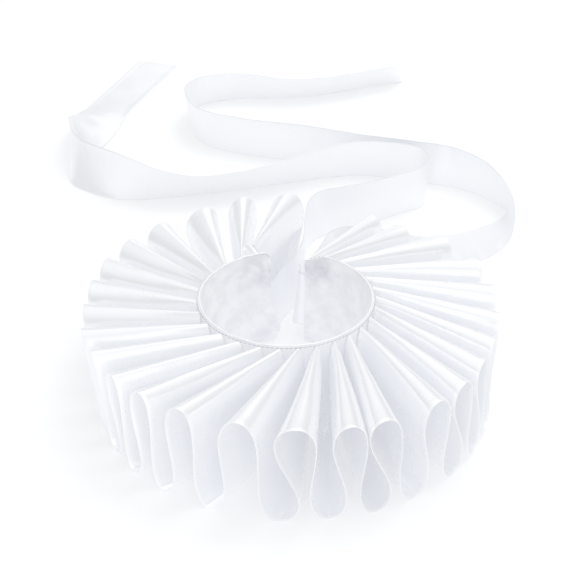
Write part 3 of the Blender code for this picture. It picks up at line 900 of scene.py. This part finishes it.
class RUFF_OT_ruff(bpy.types.Operator):
    """Folds the satin strip into the ruff's pleats, gathered at the seam"""
    bl_idname = "ruff.ruff"
    bl_label = "Fold the Ruff"

    def execute(self, context):
        collar = context.scene.collar
        sizes = collar.pleats
        phase = strip_phases(sizes.steps_per_pleat)
        across = np.concatenate([np.linspace(0.0, HEM_STARTS, 16), HEM_STEPS])
        grid = strip_form(phase, across)
        along = lengths(grid, 0)[:, None]
        out = across[None, :] * STRIP_WIDE
        crest = np.cos(2 * math.pi * phase)[:, None]
        wander = waver(phase, 1.7, 3.1)[:, None]

        fade = np.exp(-(out / sizes.gather_reach) ** 2)
        beat = np.sin(along / GATHER_PITCH + 3.0 * wander)
        gathers = sizes.gather_depth * fade * beat * (0.55 + 0.45 * wander) * 0.6
        side = np.sin(2 * math.pi * phase)[:, None]
        trough = np.exp(-((crest - TROUGH_AT - 0.1 * wander) / TROUGH_SPREAD) ** 2)
        bloom = np.sin(math.pi * across[None, :] * 0.98) ** 0.7
        folds = -sizes.crease_depth * trough * np.sign(side) * bloom * (0.6 + 0.8 * wander)
        fine = wrinkles(grid, 11.0 * MM, 7.7) * 0.25 * MM
        grid = grid + grid_normals(grid) * (gathers + folds + fine)[..., None]
        wall = np.interp(across, (0.0, HEM_STARTS, 0.965, 0.985, 1.0),
                         (sizes.cloth_wall, sizes.cloth_wall, sizes.hem_wall, sizes.hem_wall,
                          0.45 * sizes.hem_wall))
        finish = satin_material("ruff satin", collar.colours, STRIP_WIDE)
        piece = cloth_shell("ruff_cloth", grid, wall[None, :], finish)
        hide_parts("ruff_strip")
        tuck = self.tuck(sizes, finish)
        return {"FINISHED"}

    def tuck(self, sizes, finish):
        """The strip's turned-down start, which brings the first pleat onto the band."""
        along = np.linspace(0.0, 1.0, 24)[:, None]
        across = np.linspace(-1.0, 1.0, 13)[None, :]
        azimuth = TUCK_AZ - 1.8 * along + (TUCK_HALF_WIDE - 0.6 * along) * across
        radius = SEAM_R + START_STANDS_OFF[1] * (1 - along) ** 1.3 + TUCK_CLEAR
        arch = TUCK_ARCH * np.sin(math.pi * along) - TUCK_CROWN * across ** 2
        height = SEAM_CREST_Z + TUCK_CLEAR - TUCK_DROP * along + arch
        grid = polar(azimuth, radius + 0 * across, height)
        piece = cloth_shell("first_tuck", grid, sizes.cloth_wall, finish)
        return piece


class RUFF_OT_neckband(bpy.types.Operator):
    """Builds the neckband, its crumpled lining, the rolled rim and its stitches"""
    bl_idname = "ruff.neckband"
    bl_label = "Build the Neckband"

    def execute(self, context):
        collar = context.scene.collar
        sizes = collar.band
        satin = satin_material("band satin", collar.colours, BAND_TALL)
        radius = BAND_OUTER_R - BAND_WALL / 2
        grid = band_grid(radius, 300, 24)[0]
        grid = grid + grid_normals(grid) * (wrinkles(grid, 9 * MM, 1.3) * 0.15 * MM)[..., None]
        band = cloth_shell("band_cloth", grid, sizes.band_wall, satin)
        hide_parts("neckband")

        rim = self.rim(collar)
        stitches = self.stitches(sizes)
        lining = self.lining(collar)
        return {"FINISHED"}

    def lining(self, collar):
        """The cotton inside of the band, creased and crumpled."""
        sizes = collar.band
        outer = BAND_OUTER_R - BAND_WALL - PLY_GAP
        grid, turn, height = band_grid(outer - sizes.lining_wall, 560, 84)
        up_only = np.stack([0 * height, 0 * height, height], -1)
        ragged = wrinkles(up_only, RAGGED_WAVE, 6.1)
        loose = np.exp(-((height - LOOSE_AT_Z) / LOOSE_SPREAD) ** 2)
        near_end = np.exp(-((turn - BAND_LEFT_END_AZ) / LOOSE_REACH_AZ) ** 2)
        turn = turn - (math.degrees(sizes.flare) * loose + RAGGED_AZ * ragged) * near_end
        grid = polar(turn, outer - sizes.lining_wall, height)
        round_way = np.radians(turn) * outer
        dent = np.zeros_like(turn)
        for az_1, z_1, az_2, z_2, depth, wide in LINING_CREASES:
            start = np.array([math.radians(az_1) * outer, z_1 * MM])
            stop = np.array([math.radians(az_2) * outer, z_2 * MM])
            reach = stop - start
            here = np.stack([round_way, height], -1) - start
            share = np.clip((here @ reach) / (reach @ reach), 0, 1)
            bend = wrinkles(grid, 16 * MM, az_1) * 3 * MM
            apart = np.linalg.norm(here - share[..., None] * reach, axis=-1) + bend
            taper = np.sin(math.pi * np.clip(share, 0.04, 0.96)) ** 0.5
            dent += depth * MM * taper * np.exp(-(apart / (wide * MM)) ** 2)
        crumples = 1 - np.abs(wrinkles(grid, 8.5 * MM, 2.2)) * 2.4
        crumples += 0.5 * (1 - np.abs(wrinkles(grid, 4.0 * MM, 5.9)) * 2.4)
        pinned = np.clip((BAND_TOP_Z - height) / (7 * MM), 0, 1)
        inward = (np.clip(crumples, 0, 2) * sizes.crumple + dent) * pinned
        radial = grid.copy()
        radial[..., 2] = 0.0
        radial /= np.linalg.norm(radial, axis=-1, keepdims=True)
        grid = grid - radial * inward[..., None]
        finish = cotton_material("lining cotton", collar.colours, BAND_TALL)
        lining = cloth_shell("lining_cloth", grid, sizes.lining_wall, finish)
        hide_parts("band_lining")
        return lining

    def rim(self, collar):
        """The rolled rim on the band's top edge, slightly uneven, pinched at each stitch."""
        sizes = collar.band
        azimuth = np.linspace(BAND_LEFT_END_AZ, BAND_RIGHT_END_AZ, 900)
        around = np.linspace(0.0, 2 * math.pi, 17)
        middle = BAND_OUTER_R - (BAND_WALL + PLY_GAP + LINING_WALL) / 2
        path = np.radians(azimuth) * middle
        wobble = waver(path, 9 * MM, 0.4)
        pinch = 1 - 0.16 * np.abs(np.cos(math.pi * path / sizes.stitch_length)) ** 6
        half = (RIM_HALF[0] + RIM_HALF[1] * wobble) * MM * pinch
        tall = (RIM_RISE[0] + RIM_RISE[1] * wobble) * MM * pinch
        sway = waver(path, 4.5 * MM, 8.8)
        centre = BAND_TOP_Z - rim_dip(azimuth) + PLY_GAP + RIM_LIFT + 0.5 * MM * wobble
        centre += 0.3 * MM * sway
        turn = azimuth[:, None] + 0 * around[None, :]
        radius = middle + (0.35 * MM * sway)[:, None] + half[:, None] * np.cos(around)[None, :]
        height = centre[:, None] + tall[:, None] * np.sin(around)[None, :]
        tube = polar(turn, radius, height)[:, :-1]
        rows, columns = tube.shape[:2]
        here = np.arange(rows * columns).reshape(rows, columns)
        after = np.roll(here, -1, axis=1)
        faces = np.stack([here[:-1], here[1:], after[1:], after[:-1]], -1).reshape(-1, 4).tolist()
        faces += [here[0].tolist(), here[-1, ::-1].tolist()]
        data = new_mesh("rim_roll", tube.reshape(-1, 3), faces)
        chart = data.uv_layers.new(name="cloth")
        from_side = (1 - np.abs(np.cos(around[None, :-1]))) * 5.0 * MM
        flat = np.stack(np.broadcast_arrays(path[:, None], from_side), -1)
        corners = [k for face in faces for k in face]
        chart.data.foreach_set("uv", flat.reshape(-1, 2)[corners].ravel())
        # The rim's sides take a darker tone: painted shade where the binding meets the band and
        # lining.
        finish = satin_material("rim satin", collar.colours, 10.0 * MM, rough=0.42,
                                edge_tone=RIM_SIDE_PAINTED_SHADE_TONE, edge_share=0.9)
        rim = finished("rim_roll", data, finish)
        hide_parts("rim_binding")
        return rim

    def stitches(self, sizes):
        """Hand stitches below the rim, on the band's outside."""
        points = []
        faces = []
        pitch = sizes.stitch_length
        count = int(math.radians(BAND_RIGHT_END_AZ - BAND_LEFT_END_AZ) * BAND_OUTER_R / pitch)
        sides = 6
        ring = np.arange(sides) * 2 * math.pi / sides
        for k in range(1, count):
            azimuth = BAND_LEFT_END_AZ + math.degrees(k * pitch / BAND_OUTER_R)
            slant = math.degrees(STITCH_SHARE * pitch / BAND_OUTER_R)
            drop = BAND_TOP_Z - float(rim_dip(azimuth))
            for j, share in enumerate((0.0, 0.25, 0.5, 0.75, 1.0)):
                thick = STITCH_THICK * (0.4 + 0.6 * math.sin(math.pi * share))
                bulge = STITCH_BULGE * math.sin(math.pi * share)
                radius = BAND_OUTER_R + bulge + thick * np.cos(ring)
                height = drop - STITCH_DROP + share * STITCH_RISE + thick * np.sin(ring)
                points.extend(polar(azimuth + slant * share + 0 * ring, radius, height))
                if j:
                    first = len(points) - 2 * sides
                    for m in range(sides):
                        n = (m + 1) % sides
                        faces.append((first + m, first + n, first + sides + n, first + sides + m))
            base = len(points) - 5 * sides
            faces.append(tuple(range(base, base + sides))[::-1])
            faces.append(tuple(range(len(points) - sides, len(points))))
        data = new_mesh("rim_stitches", np.array(points), faces)
        # The stitches are real; their grey thread also serves as painted shade of the groove below
        # the rim.
        stitches = finished("rim_stitches", data, thread_material("stitching thread"))
        return stitches


class RUFF_OT_ties(bpy.types.Operator):
    """Lays the two ribbon ties"""
    bl_idname = "ruff.ties"
    bl_label = "Lay the Ties"

    def execute(self, context):
        collar = context.scene.collar
        sizes = collar.ties
        edge = SELVEDGE / sizes.wide
        across = np.concatenate([[0.0, edge / 2, edge], np.linspace(0.07, 0.93, 13),
                                 [1 - edge, 1 - edge / 2, 1.0]])
        wall = np.interp(np.minimum(across, 1 - across), (0.0, edge / 2, edge, 1.6 * edge),
                         (0.5 * sizes.edge_wall, sizes.edge_wall, sizes.edge_wall, sizes.wall))
        # The woven edges take a darker tone: painted shade along the ribbons' edges.
        finish = satin_material("tie satin", collar.colours, sizes.wide, rough=0.33,
                                edge=1.3 * MM, edge_tone=SELVEDGE_PAINTED_SHADE_TONE, edge_share=0.9,
                                glow_share=0.75)
        for name, node, rows, seed in (("left_ribbon", "tie_left", LEFT_TIE, 4.0),
                                       ("right_ribbon", "tie_right", RIGHT_TIE, 9.0)):
            grid = ribbon_form(rows, 14, across, sizes.wide, RIBBON_CLEAR)
            along = lengths(grid, 0)[:, None] * np.ones(len(across))
            side = np.broadcast_to(across[None, :] * sizes.wide, along.shape)
            flat = np.stack([along, side * 0.45, 0 * along], -1)
            waves = sizes.wave * wrinkles(flat, 21 * MM, seed)
            waves += 0.35 * sizes.wave * wrinkles(flat, 6 * MM, seed + 2)
            held = np.clip(along / (12 * MM), 0, 1)
            grid = grid + grid_normals(grid) * (waves * held)[..., None]
            piece = cloth_shell(name, grid, wall[None, :], finish)
            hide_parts(node)
            extra = [self.gusset(sizes, grid, finish)] if rows is RIGHT_TIE else []
        return {"FINISHED"}

    def gusset(self, sizes, ribbon, finish):
        """The small facing that joins the right ribbon's top edge to the band's end."""
        edge = ribbon[:GUSSET_STEPS, -1]
        along = np.linspace(0.0, 1.0, GUSSET_STEPS)[:, None]
        up = np.linspace(0.0, 1.0, 15)[None, :]
        tall = (GUSSET_TOP_Z - edge[:, 2:]) * (1 - along) ** 0.7 + GUSSET_LAP
        outward = grid_normals(ribbon)[:GUSSET_STEPS, -1]
        grid = edge[:, None] + outward[:, None] * GUSSET_OFF * (1 - up[..., None])
        grid[..., 2] = edge[:, 2:] - GUSSET_LAP + tall * up
        piece = cloth_shell("right_gusset", grid, sizes.wall, finish)
        return piece


class RUFF_PT_collar(bpy.types.Panel):
    """Lists the collar's pieces in the sidebar"""
    bl_idname = "RUFF_PT_collar"
    bl_label = "Ruff Collar"
    bl_space_type = "VIEW_3D"
    bl_region_type = "UI"
    bl_category = "Ruff Collar"

    def draw(self, context):
        collar = context.scene.collar
        groups = (("Studio", collar.studio, RUFF_OT_stage), ("Pleats", collar.pleats, RUFF_OT_ruff),
                  ("Neckband", collar.band, RUFF_OT_neckband), ("Ties", collar.ties, RUFF_OT_ties))
        for title, group, operator in groups:
            box = self.layout.box()
            box.label(text=title)
            for name in group.__annotations__:
                box.prop(group, name)
            box.operator(operator.bl_idname)
        box = self.layout.box()
        box.label(text="Colours")
        for name in ClothColours.__annotations__:
            box.prop(collar.colours, name)


CLASSES = (PleatSizes, BandSizes, TieSizes, ClothColours, StudioSettings, CollarProperties,
           RUFF_OT_stage, RUFF_OT_ruff, RUFF_OT_neckband, RUFF_OT_ties, RUFF_PT_collar)


def register():
    for each in CLASSES:
        bpy.utils.register_class(each)
    bpy.types.Scene.collar = PointerProperty(type=CollarProperties)


def unregister():
    del bpy.types.Scene.collar
    for each in reversed(CLASSES):
        bpy.utils.unregister_class(each)


def main():
    register()
    bpy.ops.ruff.stage()
    bpy.ops.ruff.ruff()
    bpy.ops.ruff.neckband()
    bpy.ops.ruff.ties()


if __name__ == "__main__":
    main()
